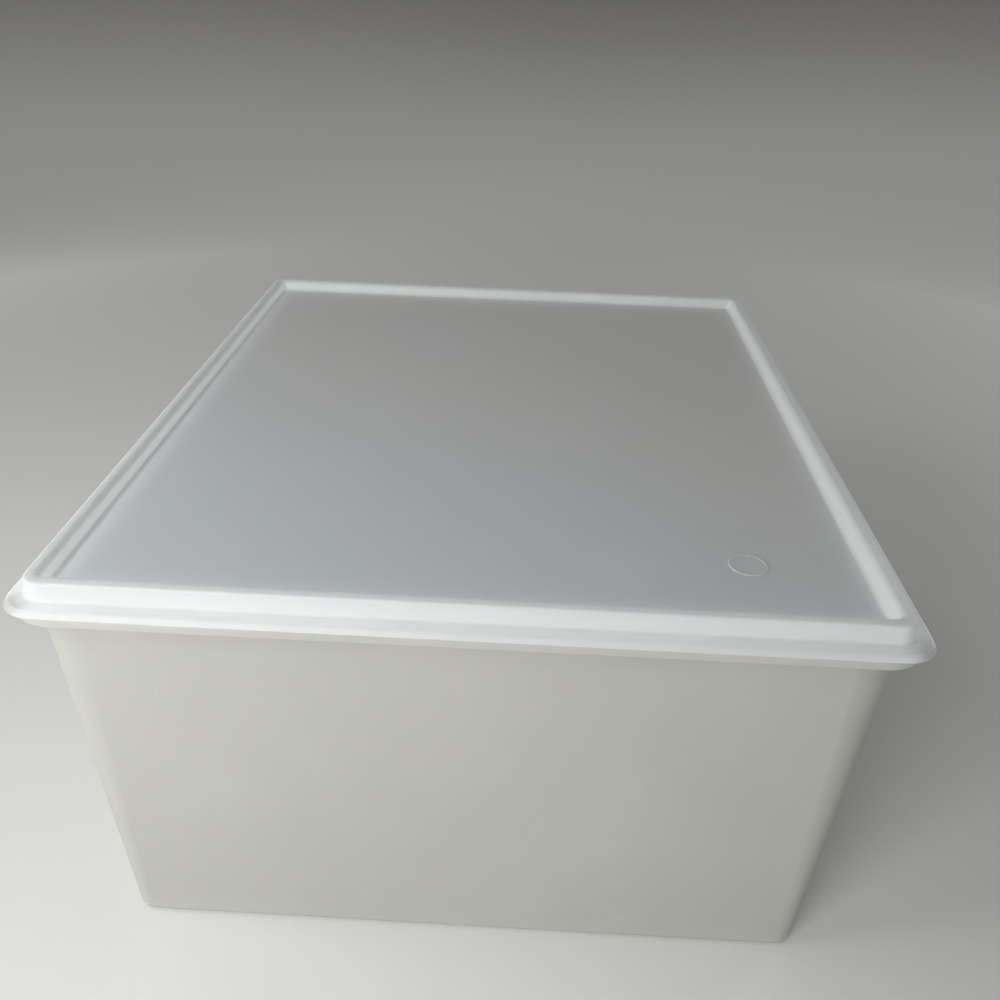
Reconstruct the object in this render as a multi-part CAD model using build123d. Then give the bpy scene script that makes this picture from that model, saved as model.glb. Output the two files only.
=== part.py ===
from build123d import *
import os

os.makedirs("parts", exist_ok=True)

# Dough proofing container: a thin-walled tub with leaning walls and a press-on lid.
# Millimetres. X runs across the front, Y from front to back, Z up from the table.
# A level is (spread, corner, height): a rounded rectangle that stands out from the
# tub's wall line by spread, has corners of radius corner and lies at height.

# Tub walls and floor
body_width = 390.0  # outside, where the walls meet the rim
body_length = 461.0
foot_corner = 9.0  # vertical corners are cones: tight here, wide at the rim
tub_height = 223.8  # table to the top of the sealing lip
wall_lean = 15.0  # how far each wall leans out between foot and rim
wall = 2.4
floor_wall = 2.8
foot_edge = 3.5  # rounding under the foot
floor_edge = 5.0  # rounding inside, where walls meet floor
foot_band = 14.0  # width of the band that stands on the table
foot_hollow = 0.8  # how far the middle of the floor is lifted off the table
foot_hollow_corner = 12.0

# Rim ledge, its down-turned skirt and the sealing lip
rim_reach = 5.4  # how far the ledge stands out from the wall line
rim_corner = 20.6
ledge_wall = 2.0
ledge_edge = 1.4
skirt_wall = 1.9
skirt_drop = 5.3
skirt_flare = 0.4  # how far the skirt leans out on its way down
skirt_bevel = 0.6
lip_height = 10.8
lip_wall = 2.6
lip_inset = 3.5  # the lip stands this far inside the wall line
lip_corner = 6.5
lip_bevel = 1.0
haunch = 5.0  # height of the slope inside that carries the lip
haunch_corner = 12.0

# Lid
lid_wall = 1.7
lip_gap = 0.3  # clearance between the lip and the walls of its groove
seat_gap = 0.3  # clearance under the groove's roof and under the flange
groove_bevel = 0.7  # fills the groove's inner roof corner behind the crest's broad rounding
ring_height = 8.8  # crest down to the step above the flange
ring_flare = 1.2
step_edge = 1.2
crest_outer_edge = 1.3
crest_inner_edge = 3.2  # the crest rolls broadly over into the recess
flange_reach = 7.7  # how far the flange stands out from the wall line
flange_corner = 16.2
flange_fall = 0.6  # from the step down to where the flange turns down
flange_flare = 1.6  # how far its down-turned edge leans out
flange_bend = 1.8
flange_bevel = 0.5
recess_depth = 7.3
recess_slope = 2.0
recess_corner = 3.0
recess_edge = 2.4

# Round moulding mark on the panel, towards the front right corner
mark_diameter = 19.0
mark_height = 0.4
mark_land = 1.5
mark_dish = 0.25
mark_bevel = 0.2
mark_from_side = 63.0  # from the ring's outer face to the mark's centre
mark_from_front = 54.0

overrun = 5.0  # how far a cut runs past what it cuts
arc_middle = 1 - 0.5**0.5  # how far in a rounding's middle lies, as a share of its radius

# Heights and places that follow
ledge_top = tub_height - lip_height
skirt_bottom = ledge_top - skirt_drop
haunch_foot = ledge_top - haunch
lip_outer = -lip_inset
lip_inner = lip_outer - lip_wall
groove_outer = lip_outer + lip_gap
groove_inner = lip_inner - lip_gap
groove_roof = tub_height + seat_gap
crest_top = groove_roof + lid_wall
crest_outer = groove_outer + lid_wall
crest_inner = groove_inner - lid_wall
ring_foot = crest_top - ring_height
flange_turn = ring_foot - flange_fall
flange_bottom = ledge_top + seat_gap
panel_top = crest_top - recess_depth


def outline(spread, corner, height):
    """A level rounded rectangle that stands out from the tub's wall line."""
    shape = RectangleRounded(body_width + 2 * spread, body_length + 2 * spread, corner)
    return Pos(0, 0, height) * shape


def block(*levels):
    """A solid whose sides run straight from each level to the next one up."""
    stages = [
        loft([outline(*lower), outline(*upper)], ruled=True)
        for lower, upper in zip(levels, levels[1:])
    ]
    whole = stages[0].fuse(*stages[1:]) if len(stages) > 1 else stages[0]
    left = split(whole, bisect_by=Plane.YZ, keep=Keep.BOTTOM)  # its corners are true cones
    return left + mirror(left, about=Plane.YZ)


def edges_at(solid, height):
    """The edges that lie level at one height."""
    return solid.edges().filter_by_position(Axis.Z, height, height)


def wall_level(height, depth=0):
    """A level of the leaning walls, at a depth inside their outer face."""
    lean = wall_lean * height / ledge_top
    return lean - wall_lean - depth, foot_corner + lean - depth, height


def rim_level(spread, height):
    """A level of the rim's ledge and skirt."""
    return spread, rim_corner + spread - rim_reach, height


def flange_level(spread, height):
    """A level of the lid's flange."""
    return spread, flange_corner + spread - flange_reach, height


def seal_level(spread, height):
    """A level of the seal: lip, groove and ring turn round the same corner centres."""
    return spread, lip_corner + spread - lip_outer, height


def make_tub():
    """Walls, floor, rim ledge with its skirt, and the sealing lip, in one moulding."""
    body = block(wall_level(0), wall_level(ledge_top))
    body = fillet(edges_at(body, 0), foot_edge)

    skirt_reach = rim_reach + skirt_flare
    rim = block(
        rim_level(skirt_reach - skirt_bevel, skirt_bottom),
        rim_level(skirt_reach, skirt_bottom + skirt_bevel),
        rim_level(rim_reach, ledge_top - ledge_edge),
        rim_level(rim_reach - ledge_edge * arc_middle, ledge_top - ledge_edge * arc_middle),
        rim_level(rim_reach - ledge_edge, ledge_top),
    )
    rim -= block(
        rim_level(skirt_reach - skirt_wall, skirt_bottom),
        rim_level(rim_reach - skirt_wall, ledge_top - ledge_wall),
    )

    lip = block(seal_level(lip_outer, ledge_top - ledge_wall), seal_level(lip_outer, tub_height))

    cavity = block(wall_level(floor_wall, wall), wall_level(haunch_foot, wall))
    cavity = fillet(edges_at(cavity, floor_wall), floor_edge)
    throat = block(
        wall_level(haunch_foot, wall),
        (lip_inner, haunch_corner, ledge_top - ledge_wall),
        (lip_inner, haunch_corner, ledge_top),
    )
    mouth = block(seal_level(lip_inner, ledge_top), seal_level(lip_inner, tub_height + overrun))
    hollow = block(
        (-wall_lean - foot_band, foot_hollow_corner, -overrun),
        (-wall_lean - foot_band, foot_hollow_corner, foot_hollow),
    )
    tub = body + rim + lip - cavity - throat - mouth - hollow
    return chamfer(edges_at(tub, tub_height), lip_bevel)


def make_mark():
    """The round moulding mark on the panel: a low pad and the shallow dish in it."""
    upwards = (Align.CENTER, Align.CENTER, Align.MIN)
    along_x = body_width / 2 + crest_outer - mark_from_side
    along_y = mark_from_front - body_length / 2 - crest_outer
    pad = Pos(along_x, along_y, panel_top) * Cylinder(mark_diameter / 2, mark_height, align=upwards)
    pad = chamfer(pad.edges().group_by(Axis.Z)[-1], mark_bevel)
    dish_floor = panel_top + mark_height - mark_dish
    dish = Pos(along_x, along_y, dish_floor) * Cylinder(mark_diameter / 2 - mark_land, overrun, align=upwards)
    return pad, dish


def make_lid():
    """Sunk panel, raised ring with its groove, and the flared flange, in one moulding."""
    outside = block(
        flange_level(flange_reach - flange_bevel, flange_bottom),
        flange_level(flange_reach, flange_bottom + flange_bevel),
        flange_level(flange_reach - flange_flare, flange_turn),
        seal_level(crest_outer + ring_flare, ring_foot),
        seal_level(crest_outer, crest_top),
    )
    outside = fillet(edges_at(outside, crest_top), crest_outer_edge)
    outside = fillet(edges_at(outside, ring_foot), step_edge)
    outside = fillet(edges_at(outside, flange_turn), flange_bend)

    underside = block(
        flange_level(flange_reach - lid_wall, flange_bottom - overrun),
        flange_level(flange_reach - lid_wall, flange_bottom),
        flange_level(flange_reach - flange_flare - lid_wall, flange_turn - lid_wall),
        seal_level(groove_outer + ring_flare, ring_foot - lid_wall),
        seal_level(groove_outer, groove_roof),
    )
    tray_foot = panel_top - lid_wall
    tray_corner = recess_corner + lid_wall
    slope_left = recess_slope * (1 - recess_edge / (groove_roof - tray_foot))
    tray = block(
        (groove_inner - recess_slope - recess_edge, tray_corner - recess_edge, tray_foot),
        (groove_inner - slope_left, tray_corner, tray_foot + recess_edge),
        seal_level(groove_inner, groove_roof - groove_bevel),
        seal_level(groove_inner + groove_bevel, groove_roof),
    )
    recess = block(
        (crest_inner - recess_slope, recess_corner, panel_top),
        seal_level(crest_inner, crest_top),
    )
    recess = fillet(edges_at(recess, panel_top), recess_edge)
    lid = outside - underside + tray - recess
    crest = lid.faces().sort_by(Axis.Z)[-1]
    lid = fillet(crest.inner_wires()[0].edges(), crest_inner_edge)
    pad, dish = make_mark()
    return lid + pad - dish


parts = {"tub": make_tub(), "lid": make_lid()}
for name, shape in parts.items():
    print(name, shape.is_valid, len(shape.solids()), round(shape.volume))
    export_step(shape, f"parts/{name}.step")
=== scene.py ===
import math

import bmesh
import bpy
from bpy.props import FloatProperty, FloatVectorProperty, IntProperty, PointerProperty
from mathutils import Matrix, Vector


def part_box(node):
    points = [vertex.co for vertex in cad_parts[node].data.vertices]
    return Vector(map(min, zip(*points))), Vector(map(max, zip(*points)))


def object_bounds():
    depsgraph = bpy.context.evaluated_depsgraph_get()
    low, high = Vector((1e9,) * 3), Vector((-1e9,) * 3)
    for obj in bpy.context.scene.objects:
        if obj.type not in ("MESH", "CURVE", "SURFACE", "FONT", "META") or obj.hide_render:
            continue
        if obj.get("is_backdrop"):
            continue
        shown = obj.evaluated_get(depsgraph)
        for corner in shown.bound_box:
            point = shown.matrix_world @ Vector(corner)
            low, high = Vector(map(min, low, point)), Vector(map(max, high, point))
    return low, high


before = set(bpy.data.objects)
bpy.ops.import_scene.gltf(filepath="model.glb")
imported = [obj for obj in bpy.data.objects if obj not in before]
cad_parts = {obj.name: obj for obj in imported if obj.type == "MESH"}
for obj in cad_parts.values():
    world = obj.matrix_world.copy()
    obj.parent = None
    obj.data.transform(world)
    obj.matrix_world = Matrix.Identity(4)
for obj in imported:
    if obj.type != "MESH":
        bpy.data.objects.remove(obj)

bl_info = {
    "name": "Dough proofing container",
    "version": (1, 0, 0),
    "blender": (4, 5, 0),
    "location": "3D View > Sidebar > Container",
    "description": "Finishes the tub and its lid, and sets up the floor, the lights and the camera",
    "category": "Object",
}

# Metres, in the frame of the solids: front towards -Y, floor at Z = 0
cad_low, cad_high = (Vector(corner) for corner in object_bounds())
tub_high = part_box("tub")[1]
lid_low, lid_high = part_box("lid")

# Where the lid's finish changes, measured in from the flange's edge: each change's start and end
WORN_HEM = (0.0, 0.002)
PAINTED_SHADE_HEM_TO_FLANGE = (0.0012, 0.0026)
FLANGE_TO_RING = (0.0065, 0.0090)
PAINTED_SHADE_CORNER_TO_FLANGE = (0.007, 0.018)  # measured in from the farther edge
RING_TO_INNER_WALL = (0.0120, 0.0140)
# Painted light: the pale band at the ring's foot begins and ends at these depths
PAINTED_LIGHT_SEAM_BEGINS = (0.0170, 0.0180)
INNER_WALL_ENDS = (0.0172, 0.0192)
PAINTED_LIGHT_SEAM_ENDS = (0.0186, 0.0200)
RIM_TO_PANEL = (0.0, 0.004)  # measured in from the panel's edge
LAMPS_STOP = (0.004, 0.010)  # the same: where lamps no longer shine through the skin

# The lid's strengths of painted light, and the noise in its drift of colour and its flow lines
PAINTED_LIGHT_SEAM_STRENGTH = 0.7
PAINTED_GLOW_STRENGTH = 0.45
PAINTED_REFLECTION_ACROSS = 0.4  # how much the painted reflection's tint follows X, as a share of how much it follows Y
DRIFT_NOISE = 0.6
DRIFT_RANGE = (-0.05, 0.42)
WANDER = 1.2  # how far a flow line strays, in distances between them
WANDER_SIZE = 0.12
STREAK_RANGE = (0.35, 0.65)

# Painted shade: where the tub's wall is darkened under its rim and in the skirt's shadow, in
# heights, and how far
PAINTED_SHADE_UNDER_RIM = (0.1920, 0.2055)
PAINTED_SHADE_UNDER_RIM_STRENGTH = 0.24
PAINTED_SHADOW_UNDER_SKIRT = (0.2040, 0.2052)
PAINTED_SHADOW_UNDER_SKIRT_STRENGTH = 0.22

# Other changes in height
RIM_FADE = 0.0015  # how far below its full height a change in the tub begins
WORN_LIP = (-0.002, -0.0005)  # measured from the tub's top
WORN_CREST = (-0.0012, -0.0002)  # measured from the lid's top

# The part of each noise that shows as a cloud, a hazy patch or a scratch
CLOUD_RANGE = (0.3, 0.7)
PATCH_RANGE = (0.5, 0.72)
SCRATCH_RANGE = (0.66, 0.74)
SCRATCH_LENGTH = 60.0  # in scratch widths
SCRATCH_HEIGHT = 8.0  # the same, up a wall

# How strongly patches and wear are scratched and hazed
SCRATCHED_PATCHES = 0.7
SCRATCHED_WEAR = 0.6
HAZY_PATCHES = 0.35
HAZY_WEAR = 0.5

# How far haze and scratches take on the colour of rubbed plastic, and what roughens the skin
HAZE_TINT = 0.4
SCRATCH_TINT = 0.5
HAZE_ROUGHNESS = 0.22
SCRATCH_ROUGHNESS = 0.12
CLOUD_ROUGHNESS = 0.05

POLYETHYLENE_IOR = 1.51
MILK_TINT = (1.0, 0.95, 0.88)  # red light goes farthest in the milk

# Studio paper
FIBRE_SIZE = 0.004
FIBRE_DEPTH = 0.00005
GREYING_HEIGHT = 0.6  # over which the paper turns from the floor's tone to the backdrop's
PAPER_ROUGHNESS = 0.85
PAPER_SPECULAR = 0.2
BEND_STEPS = 16

# Each lamp's name, place and side; its power is a property of the stage
LAMPS = (
    ("front", (-0.355, -0.82, 0.45), 0.4),
    ("left", (-0.62, -0.30, 0.70), 0.4),
    ("right", (2.00, 1.40, 0.50), 1.0),
    ("rear", (-1.90, 1.70, 0.55), 1.0),
)
SENSOR_WIDTH = 36.0  # millimetres


class Value:
    """A shader socket that Python's operators work on by adding Math nodes."""

    def __init__(self, finish, socket):
        self.finish = finish
        self.socket = socket

    def math(self, operation, *others, clamp=False):
        settings = {"operation": operation, "use_clamp": clamp}
        inputs = dict(enumerate((self, *others)))
        return self.finish.node("ShaderNodeMath", settings, inputs)

    def reflected(self, operation, other):
        """The same with this value as the second of the two."""
        return self.finish.node("ShaderNodeMath", {"operation": operation}, {0: other, 1: self})

    def __add__(self, other):
        return self.math("ADD", other)

    def __sub__(self, other):
        return self.math("SUBTRACT", other)

    def __mul__(self, other):
        return self.math("MULTIPLY", other)

    def __truediv__(self, other):
        return self.math("DIVIDE", other)

    def __rsub__(self, other):
        return self.reflected("SUBTRACT", other)

    def __rtruediv__(self, other):
        return self.reflected("DIVIDE", other)

    __radd__ = __add__
    __rmul__ = __mul__

    def clamped(self):
        """The value held between 0 and 1."""
        return self.math("ADD", 0.0, clamp=True)

    def step(self, start, end):
        """0 below start, 1 above end and smooth between them."""
        settings = {"interpolation_type": "SMOOTHSTEP"}
        return self.finish.node("ShaderNodeMapRange", settings, {"Value": self, 1: start, 2: end})


class Finish:
    """A material under construction, with one method that adds any node."""

    def __init__(self, name):
        self.material = bpy.data.materials.new(name)
        self.material.use_nodes = True
        self.nodes = self.material.node_tree.nodes
        self.links = self.material.node_tree.links
        self.shader = self.nodes["Principled BSDF"]

    def node(self, kind, settings=None, inputs=None, output=0):
        """Adds a node, sets it, feeds its sockets with values or links, and returns one output."""
        node = self.nodes.new(kind)
        for name, value in (settings or {}).items():
            setattr(node, name, value)
        for key, value in (inputs or {}).items():
            self.feed(node.inputs[key], value)
        return Value(self, node.outputs[output])

    def feed(self, socket, value):
        """Links a value to a socket, or sets a plain number or colour on it."""
        if isinstance(value, Value):
            self.links.new(value.socket, socket)
        else:
            socket.default_value = value

    def set(self, **inputs):
        """Sets the shader's own sockets, whose names are written with underscores."""
        for name, value in inputs.items():
            self.feed(self.shader.inputs[name.replace("_", " ")], value)

    def place(self):
        """The piece's own coordinates, in metres."""
        return self.node("ShaderNodeTexCoord", output="Object")

    def axis(self, place, name):
        """One of a place's three coordinates."""
        return self.node("ShaderNodeSeparateXYZ", {}, {0: place}, output=name)

    def noise(self, place, wavelength, detail=2.0, roughness=0.5, stretch=(1.0, 1.0, 1.0)):
        """Noise from 0 to 1 with a wavelength in metres, stretched along the axes."""
        scale = tuple(1.0 / (wavelength * s) for s in stretch)
        scaled = self.node("ShaderNodeMapping", {}, {"Vector": place, "Scale": scale})
        inputs = {"Vector": scaled, "Scale": 1.0, "Detail": detail, "Roughness": roughness}
        return self.node("ShaderNodeTexNoise", {"noise_dimensions": "3D"}, inputs)

    def blend(self, factor, below, above):
        """A colour mixed from two others by a factor."""
        settings = {"data_type": "RGBA", "clamp_factor": True}
        return self.node("ShaderNodeMix", settings, {0: factor, 6: below, 7: above}, output=2)

    def bump(self, height, distance, normal=None):
        """A normal tipped by a height from 0 to 1 that stands for a distance in metres."""
        inputs = {"Height": height, "Strength": 1.0, "Distance": distance}
        if normal is not None:
            inputs["Normal"] = normal
        return self.node("ShaderNodeBump", {}, inputs)


def rgba(colour):
    """A property's colour as a socket takes it."""
    return (*colour[:3], 1.0)


def moulded(finish, look, place, body, worn, soak, clear):
    """What both mouldings share: cloudy milk, a satin skin, fine scratches and wear.

    body is the colour before these, and worn is 1 where the piece is rubbed in use. soak is the
    share of light that comes from behind, and clear the share of a lamp's light that goes on
    through the skin.
    """
    cloud = finish.noise(place, look.cloud_size, detail=3.0).step(*CLOUD_RANGE)
    ripple = finish.noise(place, look.ripple_size, detail=1.0)
    skin = finish.noise(place, look.skin_size)
    patches = finish.noise(place, look.scuff_size, detail=5.0, roughness=0.7).step(*PATCH_RANGE)
    stretches = (1.0, SCRATCH_LENGTH, SCRATCH_HEIGHT), (SCRATCH_LENGTH, 1.0, SCRATCH_HEIGHT)
    along_y, along_x = (
        finish.noise(place, look.scratch_width, stretch=stretch).step(*SCRATCH_RANGE)
        for stretch in stretches
    )
    scratched = (patches * SCRATCHED_PATCHES + worn * SCRATCHED_WEAR).clamped()
    marks = ((along_y + along_x).clamped() * scratched * look.scratch).clamped()
    haze = (patches * HAZY_PATCHES + worn * HAZY_WEAR).clamped() * look.scuff

    milky = finish.blend(cloud * look.cloud, body, rgba(look.cloud_colour))
    hazy = finish.blend(haze * HAZE_TINT, milky, rgba(look.scuff_colour))
    roughening = haze * HAZE_ROUGHNESS + marks * SCRATCH_ROUGHNESS + cloud * CLOUD_ROUGHNESS
    waves = finish.bump(ripple, look.ripple_depth)
    grain = finish.bump(skin, look.skin_depth, waves)
    finish.set(
        Base_Color=finish.blend(marks * SCRATCH_TINT, hazy, rgba(look.scuff_colour)),
        Roughness=(roughening + look.roughness).clamped(),
        IOR=POLYETHYLENE_IOR,
        Subsurface_Weight=1.0,
        Subsurface_Radius=MILK_TINT,
        Subsurface_Scale=look.milk_depth,
        Normal=finish.bump(marks, look.scratch_depth, grain),
    )
    let_light_through(finish, rgba(look.soaked_colour), soak, clear)
    return finish.material


def let_light_through(finish, colour, soak, clear):
    """Mixes in the light that soaks through from behind, and lets lamps shine through."""
    skin = Value(finish, finish.shader.outputs["BSDF"])
    soaked = finish.node("ShaderNodeBsdfTranslucent", {}, {"Color": colour})
    milky = finish.node("ShaderNodeMixShader", {}, {0: soak, 1: skin, 2: soaked})
    lamp_ray = finish.node("ShaderNodeLightPath", output="Is Shadow Ray")
    passing = finish.node("ShaderNodeBsdfTransparent")
    surface = finish.node("ShaderNodeMixShader", {}, {0: lamp_ray * clear, 1: milky, 2: passing})
    finish.feed(finish.nodes["Material Output"].inputs["Surface"], surface)


def inset(finish, place, low, high, edge="MINIMUM"):
    """How far in from a box's nearer upright side a point lies, or with MAXIMUM the farther."""
    half = (high - low) / 2
    middle = (high + low) / 2
    along_x = half.x - (finish.axis(place, "X") - middle.x).math("ABSOLUTE")
    along_y = half.y - (finish.axis(place, "Y") - middle.y).math("ABSOLUTE")
    return along_x.math(edge, along_y)


def panel_colour(finish, look, place, depth):
    """The panel's tone drifts at random, with a painted reflection that runs from cool at the front
    to warm towards the back, and a painted glow where the ring lies round it.
    """
    towards_back = finish.axis(place, "Y") + finish.axis(place, "X") * PAINTED_REFLECTION_ACROSS
    drift = finish.noise(place, look.drift_size, detail=0.0) * DRIFT_NOISE
    # Painted reflection: the tint turns from cool at the front left to warm towards the back
    drift = (drift + towards_back * look.painted_reflection_rate).step(*DRIFT_RANGE)
    panel = finish.blend(drift, rgba(look.panel_cool), rgba(look.panel_warm))
    # Painted glow: the panel turns paler towards the ring round it, as if lit by it
    painted_glow = 1 - depth.step(look.ring_width, look.ring_width + look.painted_glow_width)
    return finish.blend(painted_glow * PAINTED_GLOW_STRENGTH, panel, rgba(look.ring_colour))


def rim_colour_with_painted_shade(finish, look, place, depth, height, inner_wall):
    """The flange with its hem and corners in painted shade, and the ring with its flow lines and
    its inner wall in painted shade.
    """
    # Painted shade: the flange's corners are darker, standing in for the shade seen through the
    # single sheet there
    corner = 1 - inset(finish, place, lid_low, lid_high, "MAXIMUM").step(*PAINTED_SHADE_CORNER_TO_FLANGE)
    flange = finish.blend(corner, rgba(look.flange_colour), rgba(look.painted_shade_corner_colour))
    # Painted shade: the flange's down-turned hem is a darker copy of the flange
    flange = finish.blend(depth.step(*PAINTED_SHADE_HEM_TO_FLANGE), rgba(look.painted_shade_hem_colour), flange)
    rim = finish.blend(depth.step(*FLANGE_TO_RING), flange, rgba(look.ring_colour))

    across = (depth + height) / look.streak_width + finish.noise(place, WANDER_SIZE) * WANDER
    settings = {"noise_dimensions": "1D"}
    lines = finish.node("ShaderNodeTexNoise", settings, {"W": across, "Detail": 1.0})
    streak = lines.step(*STREAK_RANGE) * look.streaks
    rim = finish.blend(streak, rim, rgba(look.streak_colour))
    # Painted shade: the ring's inner wall is a darker copy of the ring
    return finish.blend(inner_wall, rim, rgba(look.painted_shade_inner_colour))


def lid_finish(look):
    """The lid is whiter where its ring and flange double the plastic; over the hollow tub its panel
    is darker, painted shade of the dark hollow under the single sheet.
    """
    finish = Finish("lid polyethylene")
    place = finish.place()
    depth = inset(finish, place, lid_low, lid_high)
    height = finish.axis(place, "Z")

    over_hollow = depth.step(*(look.ring_width + change for change in RIM_TO_PANEL))
    outside_seam = 1 - depth.step(*INNER_WALL_ENDS)
    inner_wall = depth.step(*RING_TO_INNER_WALL) * outside_seam
    rim = rim_colour_with_painted_shade(finish, look, place, depth, height, inner_wall)
    # Painted shade: the panel over the hollow tub is darker than the ring
    body = finish.blend(over_hollow, rim, panel_colour(finish, look, place, depth))
    # Painted light: a pale band lifts the shade in the crease where the ring's inner wall meets the
    # panel
    painted_light_seam = depth.step(*PAINTED_LIGHT_SEAM_BEGINS) * (1 - depth.step(*PAINTED_LIGHT_SEAM_ENDS))
    body = finish.blend(painted_light_seam * PAINTED_LIGHT_SEAM_STRENGTH, body, rgba(look.painted_light_seam_colour))

    crest = height.step(*(lid_high.z + change for change in WORN_CREST))
    hem = 1 - depth.step(*WORN_HEM)
    layered = 1 - depth.step(*(look.ring_width + change for change in LAMPS_STOP))
    soak = outside_seam * (look.rim_soak - look.wall_soak) + look.wall_soak
    soak = inner_wall * (look.inner_soak - look.rim_soak) + soak
    worn = (crest + hem).clamped()
    return moulded(finish, look, place, body, worn, soak, layered * look.rim_clear)


def tub_finish(look):
    """The tub has painted shade: greyer at its rim under the lid's flange and darker right under
    the rim. It is hazy with wear round its foot.
    """
    finish = Finish("tub polyethylene")
    place = finish.place()
    height = finish.axis(place, "Z")

    rim = height.step(look.rim_from - RIM_FADE, look.rim_from)
    # Painted shade: the wall darkens under the rim, most in a thin painted shadow right under the
    # skirt
    painted_under_rim_shade = height.step(*PAINTED_SHADE_UNDER_RIM) * PAINTED_SHADE_UNDER_RIM_STRENGTH
    painted_under_rim_shade = painted_under_rim_shade + height.step(*PAINTED_SHADOW_UNDER_SKIRT) * PAINTED_SHADOW_UNDER_SKIRT_STRENGTH
    wall = finish.blend(painted_under_rim_shade, rgba(look.colour), rgba(look.painted_shade_under_rim_colour))
    # Painted shade: the rim is greyer, the shade of the lid's flange over its skirt
    body = finish.blend(rim, wall, rgba(look.rim_colour_with_painted_shade))

    foot = 1 - height.step(0.0, look.foot_wear)
    lip = height.step(*(tub_high.z + change for change in WORN_LIP))
    seal = height.step(look.seal_from - RIM_FADE, look.seal_from)
    soak = seal * (look.rim_soak - look.wall_soak) + look.wall_soak
    worn = (foot * foot + lip).clamped()
    return moulded(finish, look, place, body, worn, soak, seal * look.rim_clear)


def dress(node, material):
    """Gives a solid of the frame its finish."""
    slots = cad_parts[node].data.materials
    slots.clear()
    slots.append(material)


def colour_prop(name, description, default):
    return FloatVectorProperty(
        name=name, description=description, default=default,
        size=3, subtype="COLOR", min=0.0, max=1.0,
    )


def length_prop(name, description, default):
    return FloatProperty(
        name=name, description=description, default=default, unit="LENGTH", precision=4, min=0.0
    )


def share_prop(name, description, default):
    return FloatProperty(
        name=name, description=description, default=default, subtype="FACTOR", min=0.0, max=1.0
    )


def power_prop(name, description, default):
    return FloatProperty(name=name, description=description, default=default, unit="POWER")


def angle_prop(name, description, degrees):
    return FloatProperty(
        name=name, description=description, default=math.radians(degrees), unit="ROTATION"
    )


class MouldedLook:
    """The properties that the tub's finish and the lid's finish share."""

    cloud: share_prop("Clouds", "How strongly the milk in the plastic varies", 0.5)
    cloud_size: length_prop("Cloud size", "Width of the faint clouds in the plastic", 0.11)
    ripple_size: length_prop("Ripple size", "Width of the slow waves in a moulded wall", 0.085)
    ripple_depth: length_prop("Ripple depth", "Height of those waves", 0.0006)
    skin_size: length_prop("Skin size", "Width of the grain of the moulded skin", 0.0016)
    skin_depth: length_prop("Skin depth", "Height of that grain", 0.00002)
    scuff: share_prop("Scuffs", "How strongly the hazy wear shows", 0.6)
    scuff_size: length_prop("Scuff size", "Width of the worn patches", 0.04)
    scuff_colour: colour_prop("Scuff colour", "Colour of rubbed plastic", (0.90, 0.90, 0.89))
    scratch: share_prop("Scratches", "How strongly the fine scratches show", 0.7)
    scratch_width: length_prop("Scratch width", "Width of a scratch", 0.0012)
    scratch_depth: length_prop("Scratch depth", "Depth of a scratch", 0.00003)
    wall_soak: share_prop("Wall soak", "Share of light that soaks through a wall from behind", 0.2)
    rim_soak: share_prop("Rim soak", "The same at the rim, where layers lie close together", 0.38)
    rim_clear: share_prop(
        "Rim clear", "Share of a lamp's light that each skin of the rim passes on", 0.98
    )


class TubLook(MouldedLook, bpy.types.PropertyGroup):
    colour: colour_prop("Colour", "The tub's milky plastic", (0.645, 0.645, 0.605))
    cloud_colour: colour_prop("Cloud colour", "Its denser clouds", (0.68, 0.68, 0.635))
    soaked_colour: colour_prop(
        "Soaked colour", "Its plastic with the light behind it", (0.64, 0.64, 0.60)
    )
    # Painted shade: the rim's skirt is greyer, standing in for the shade of the lid's flange
    rim_colour_with_painted_shade: colour_prop("Rim colour", "The thicker plastic of its rim", (0.60, 0.595, 0.565))
    # Painted shade: the wall's colour right under the rim's skirt
    painted_shade_under_rim_colour: colour_prop(
        "Under-rim colour", "The wall where the rim's skirt closes over it", (0.40, 0.40, 0.37)
    )
    rim_from: length_prop("Rim from", "Height at which the rim begins", 0.2075)
    seal_from: length_prop("Seal from", "Height at which the sealing lip begins", 0.2125)
    foot_wear: length_prop("Foot wear", "How far up from the table the wear reaches", 0.03)
    roughness: share_prop("Roughness", "Roughness of the clean skin", 0.42)
    milk_depth: length_prop("Milk depth", "How far light travels in the wall", 0.004)


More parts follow.
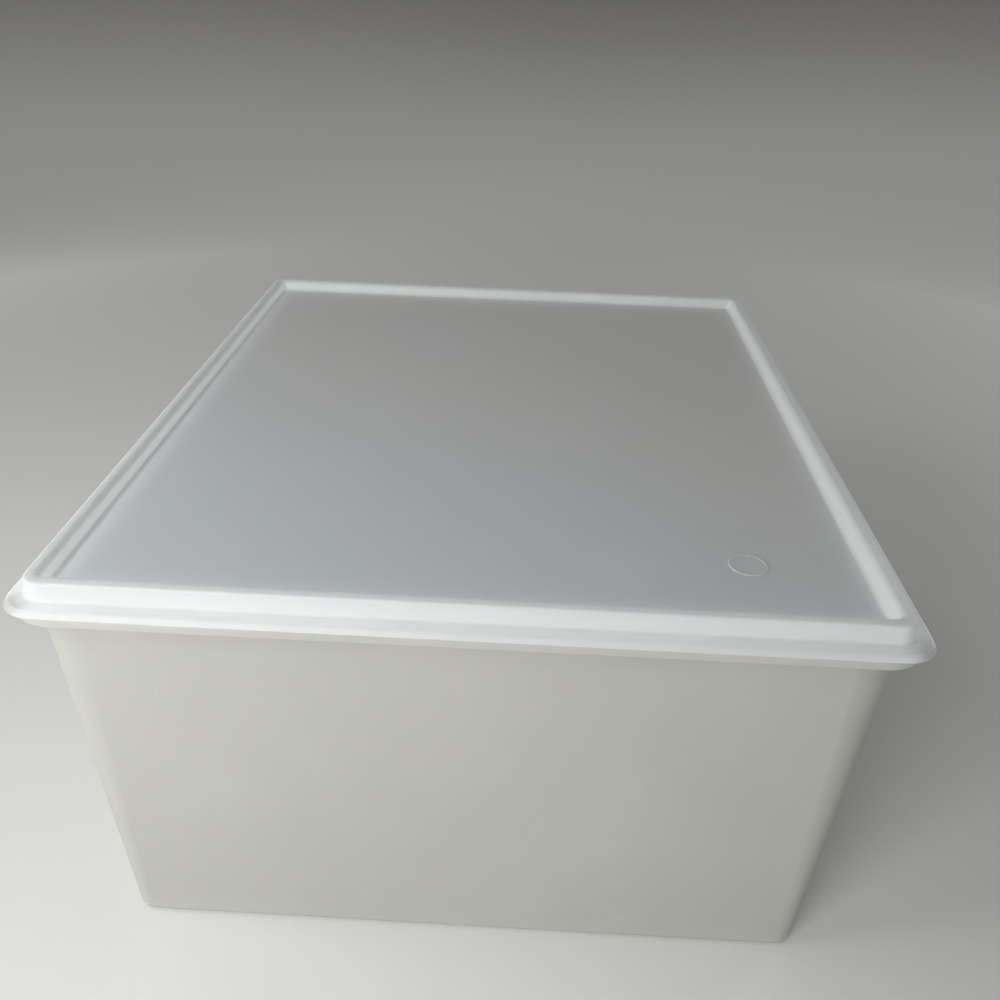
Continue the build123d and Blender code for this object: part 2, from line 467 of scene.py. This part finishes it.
class LidLook(MouldedLook, bpy.types.PropertyGroup):
    flange_colour: colour_prop(
        "Flange colour", "The flange, pale against the tub's rim", (0.95, 0.95, 0.935)
    )
    # Painted shade: the darker colour of the flange's down-turned hem
    painted_shade_hem_colour: colour_prop("Hem colour", "The flange's down-turned edge", (0.74, 0.74, 0.73))
    # Painted shade: the darker colour of the flange's corners
    painted_shade_corner_colour: colour_prop(
        "Corner colour", "The flange's corners, with nothing under them", (0.54, 0.54, 0.53)
    )
    # Painted light: the pale band that lifts the shade in the crease at the ring's foot
    painted_light_seam_colour: colour_prop(
        "Seam colour", "The thick plastic where the ring meets the panel", (0.95, 0.95, 0.945)
    )
    streak_colour: colour_prop(
        "Streak colour", "Flow lines that run along the rim", (0.66, 0.68, 0.69)
    )
    streaks: share_prop("Streaks", "How strongly the flow lines show", 0.3)
    streak_width: length_prop("Streak width", "Distance from one flow line to the next", 0.0028)
    ring_colour: colour_prop("Ring colour", "The ring's doubled plastic", (0.755, 0.775, 0.785))
    soaked_colour: colour_prop(
        "Soaked colour", "Its plastic with the light behind it", (0.77, 0.785, 0.785)
    )
    # Painted shade: the inner wall's colour, darker than the ring's
    painted_shade_inner_colour: colour_prop(
        "Inner colour", "The ring's inner wall, a single sheet", (0.69, 0.71, 0.72)
    )
    # Painted shade and reflection: the panel is darkened for the hollow tub under it, and runs from
    # this cool tint at the front to the warm one at the back
    panel_cool: colour_prop(
        "Panel, cool", "The single sheet over the hollow tub", (0.70, 0.745, 0.78)
    )
    panel_warm: colour_prop(
        "Panel, warm", "Where that sheet drifts to a warmer grey", (0.75, 0.735, 0.70)
    )
    cloud_colour: colour_prop("Cloud colour", "Its denser clouds", (0.70, 0.73, 0.74))
    inner_soak: share_prop(
        "Inner soak", "The rim's soak at the ring's inner wall, lit through the whole ring", 0.60
    )
    ring_width: length_prop("Ring width", "From the flange's edge to the panel", 0.0168)
    # Painted glow: how far the ring's paler tone spreads into the panel
    painted_glow_width: length_prop(
        "Glow width", "How far the ring's light spreads into the panel", 0.024
    )
    drift_size: length_prop("Drift size", "Width of the drift between cool and warm", 0.3)
    # Painted reflection: how fast the panel's tint warms from front to back
    painted_reflection_rate: FloatProperty(
        name="Drift rate", description="How fast the panel warms from front to back", default=1.4
    )
    roughness: share_prop("Roughness", "Roughness of the clean skin", 0.37)
    milk_depth: length_prop("Milk depth", "How far light travels in the wall", 0.0032)


class StageLook(bpy.types.PropertyGroup):
    floor_colour: colour_prop("Floor", "Colour of the floor", (0.81, 0.805, 0.79))
    backdrop_colour: colour_prop("Backdrop", "Colour of the backdrop", (0.25, 0.24, 0.235))
    backdrop_reach: length_prop(
        "Backdrop reach", "From the container's middle to the backdrop", 1.6
    )
    backdrop_rise: length_prop("Backdrop rise", "Height of the backdrop above its bend", 2.0)
    turns: IntProperty(
        name="Sides", description="Sides of the round floor and backdrop", default=96, min=12
    )
    bend: length_prop("Bend", "Radius where the floor turns up", 0.35)
    front_power: power_prop("Front", "Power of the low front light", 4.0)
    left_power: power_prop("Left", "Power of the light on the left", 2.1)
    right_power: power_prop("Right", "Power of the fill light on the right", 10.5)
    rear_power: power_prop("Rear", "Power of the soft rear light", 13.0)
    world: share_prop("World", "Strength of the even light from all round", 0.20)
    lens: FloatProperty(name="Lens", description="Focal length", default=34.69, unit="CAMERA")
    eye: FloatVectorProperty(
        name="Eye", description="Where the camera stands", default=(0.0230, -0.5634, 0.4642),
        size=3, subtype="XYZ", unit="LENGTH",
    )
    yaw: angle_prop("Yaw", "Turn to the left", 1.61)
    pitch: angle_prop("Pitch", "Look down", 29.164)
    roll: angle_prop("Roll", "Tilt of the frame", 1.915)


class CONTAINER_OT_tub(bpy.types.Operator):
    """Finish the tub in warm milky polyethylene"""

    bl_idname = "container.tub"
    bl_label = "Finish the tub"

    def execute(self, context):
        look = context.scene.container_tub
        dress("tub", tub_finish(look))
        return {"FINISHED"}


class CONTAINER_OT_lid(bpy.types.Operator):
    """Finish the lid in cool milky polyethylene"""

    bl_idname = "container.lid"
    bl_label = "Finish the lid"

    def execute(self, context):
        look = context.scene.container_lid
        dress("lid", lid_finish(look))
        return {"FINISHED"}


def stage_piece(name, shape, material):
    """Turns a bmesh into a smooth piece of the stage."""
    bmesh.ops.recalc_face_normals(shape, faces=shape.faces)
    mesh = bpy.data.meshes.new(name)
    shape.to_mesh(mesh)
    shape.free()
    mesh.polygons.foreach_set("use_smooth", [True] * len(mesh.polygons))
    mesh.materials.append(material)
    piece = bpy.data.objects.new(name, mesh)
    bpy.context.scene.collection.objects.link(piece)
    piece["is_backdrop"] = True
    return piece


def round_floor(look, material):
    """A round floor that reaches to where the backdrop bends up."""
    disc = bmesh.new()
    reach = look.backdrop_reach - look.bend
    bmesh.ops.create_circle(disc, cap_ends=True, radius=reach, segments=look.turns)
    return stage_piece("floor", disc, material)


def round_backdrop(look, material):
    """A backdrop all round that bends up from the floor, spun from its profile.

    Only the camera sees it, so the even light of the room still reaches the container.
    """
    wall = bmesh.new()
    reach = look.backdrop_reach - look.bend
    foot = wall.verts.new((0.0, reach, 0.0))
    bend = bmesh.ops.spin(
        wall, geom=[foot], cent=(0.0, reach, look.bend),
        axis=(1.0, 0.0, 0.0), angle=math.pi / 2, steps=BEND_STEPS, use_merge=False,
    )
    top = [item for item in bend["geom_last"] if isinstance(item, bmesh.types.BMVert)]
    raised = bmesh.ops.extrude_vert_indiv(wall, verts=top)["verts"]
    bmesh.ops.translate(wall, verts=raised, vec=(0.0, 0.0, look.backdrop_rise))
    bmesh.ops.spin(
        wall, geom=wall.verts[:] + wall.edges[:], cent=(0.0, 0.0, 0.0),
        axis=(0.0, 0.0, 1.0), angle=2 * math.pi, steps=look.turns, use_merge=True,
    )
    piece = stage_piece("backdrop", wall, material)
    piece.visible_diffuse = False
    piece.visible_glossy = False
    piece.visible_transmission = False
    piece.visible_shadow = False
    return piece


def paper(look):
    """Matt studio paper, pale on the floor and greyer up the backdrop."""
    finish = Finish("studio paper")
    place = finish.place()
    raised = finish.axis(place, "Z").step(0.0, GREYING_HEIGHT)
    fibre = finish.noise(place, FIBRE_SIZE, detail=3.0)
    finish.set(
        Base_Color=finish.blend(raised, rgba(look.floor_colour), rgba(look.backdrop_colour)),
        Roughness=PAPER_ROUGHNESS,
        Specular_IOR_Level=PAPER_SPECULAR,
        Normal=finish.bump(fibre, FIBRE_DEPTH),
    )
    return finish.material


def lamp(name, power, side, eye, target):
    """A square soft light that looks from one place at another."""
    data = bpy.data.lights.new(name, "AREA")
    data.energy = power
    data.size = side
    light = bpy.data.objects.new(name, data)
    turn = (target - eye).to_track_quat("-Z", "Y").to_matrix().to_4x4()
    light.matrix_world = Matrix.Translation(eye) @ turn
    light.visible_camera = False
    bpy.context.scene.collection.objects.link(light)


def even_light(strength):
    """A white world that lights the container from all round."""
    world = bpy.data.worlds.new("studio")
    world.use_nodes = True
    sky = world.node_tree.nodes["Background"]
    sky.inputs["Color"].default_value = (1.0, 1.0, 1.0, 1.0)
    sky.inputs["Strength"].default_value = strength
    return world


def camera_at(look):
    """The camera that frames the container as the photograph does."""
    data = bpy.data.cameras.new("camera")
    data.lens = look.lens
    data.sensor_width = SENSOR_WIDTH
    camera = bpy.data.objects.new("camera", data)
    turn = Matrix.Rotation(look.yaw, 4, "Z")
    tip = Matrix.Rotation(math.pi / 2 - look.pitch, 4, "X")
    tilt = Matrix.Rotation(look.roll, 4, "Z")
    camera.matrix_world = Matrix.Translation(look.eye) @ turn @ tip @ tilt
    bpy.context.scene.collection.objects.link(camera)
    return camera


class CONTAINER_OT_stage(bpy.types.Operator):
    """Lay the floor and backdrop, hang the lights and set up the camera"""

    bl_idname = "container.stage"
    bl_label = "Set the stage"

    def execute(self, context):
        look = context.scene.container_stage
        material = paper(look)
        round_floor(look, material)
        round_backdrop(look, material)

        middle = (cad_low + cad_high) / 2
        for name, place, side in LAMPS:
            lamp(name, getattr(look, name + "_power"), side, Vector(place), middle)
        context.scene.world = even_light(look.world)
        context.scene.view_settings.view_transform = "Standard"
        context.scene.camera = camera_at(look)
        return {"FINISHED"}


class CONTAINER_PT_panel(bpy.types.Panel):
    """The container's pieces and its stage"""

    bl_label = "Dough proofing container"
    bl_space_type = "VIEW_3D"
    bl_region_type = "UI"
    bl_category = "Container"

    def draw(self, context):
        for name, _, operator in PARTS:
            box = self.layout.box()
            box.operator(operator.bl_idname)
            look = getattr(context.scene, name)
            for prop in look.bl_rna.properties:
                if prop.identifier not in ("name", "rna_type"):
                    box.prop(look, prop.identifier)


PARTS = (
    ("container_tub", TubLook, CONTAINER_OT_tub),
    ("container_lid", LidLook, CONTAINER_OT_lid),
    ("container_stage", StageLook, CONTAINER_OT_stage),
)


def register():
    for name, look, operator in PARTS:
        bpy.utils.register_class(look)
        bpy.utils.register_class(operator)
        setattr(bpy.types.Scene, name, PointerProperty(type=look))
    bpy.utils.register_class(CONTAINER_PT_panel)


def unregister():
    bpy.utils.unregister_class(CONTAINER_PT_panel)
    for name, look, operator in reversed(PARTS):
        delattr(bpy.types.Scene, name)
        bpy.utils.unregister_class(operator)
        bpy.utils.unregister_class(look)


def main():
    register()
    bpy.ops.container.tub()
    bpy.ops.container.lid()
    bpy.ops.container.stage()


if __name__ == "__main__":
    main()
